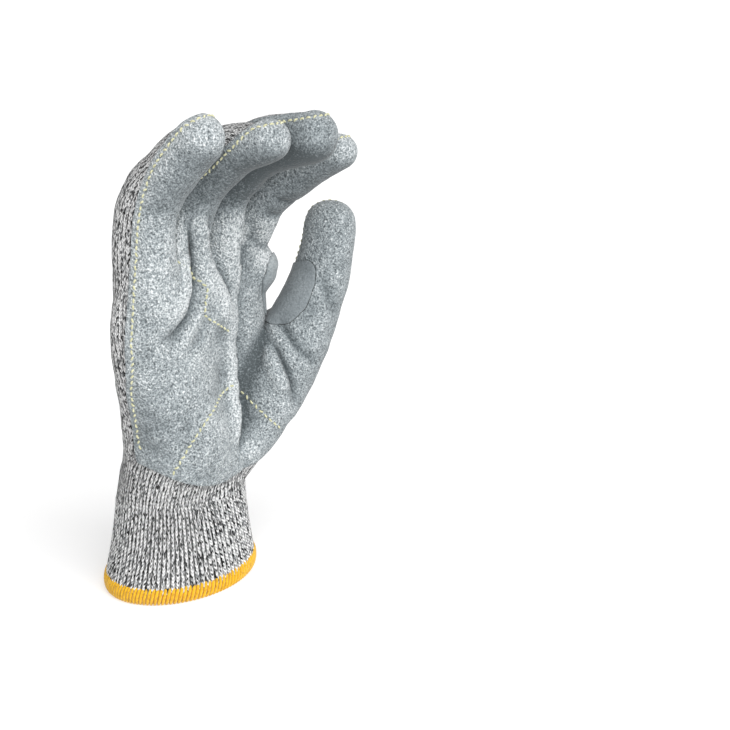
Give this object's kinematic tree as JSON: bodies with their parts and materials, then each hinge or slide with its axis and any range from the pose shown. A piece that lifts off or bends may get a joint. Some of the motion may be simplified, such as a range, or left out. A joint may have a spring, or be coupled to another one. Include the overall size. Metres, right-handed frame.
{
  "type": "cut-resistant work glove",
  "caption": "Knitted right-hand work glove with curled fingers, a split-leather palm, a thumb-crotch patch and a ribbed cuff with a yellow overlocked edge.",
  "frame": {"origin": "centre of the cuff's opening, at the lowest point of its edge", "axes": "+Z from the wrist to the fingertips, the palm faces -Y, the thumb is on the +X side"},
  "size_m": [0.1129, 0.0949, 0.203],
  "materials": {
    "marl_knit": "seamless knit of light and dark grey marl yarn, matt",
    "split_leather": "blue-grey split leather with a short suede nap",
    "patch_leather": "smoother and darker grey split leather",
    "yellow_yarn": "yellow polyester and aramid sewing yarn"
  },
  "bodies": {
    "root": {"knit_body": "marl_knit", "knit_thumb": "marl_knit", "knit_pinky": "marl_knit", "knit_ring": "marl_knit", "knit_middle": "marl_knit", "knit_index": "marl_knit", "rib_cuff": "marl_knit", "cuff_hem": "yellow_yarn", "leather_palm": "split_leather", "crotch_patch": "patch_leather"}
  },
  "joints": []
}
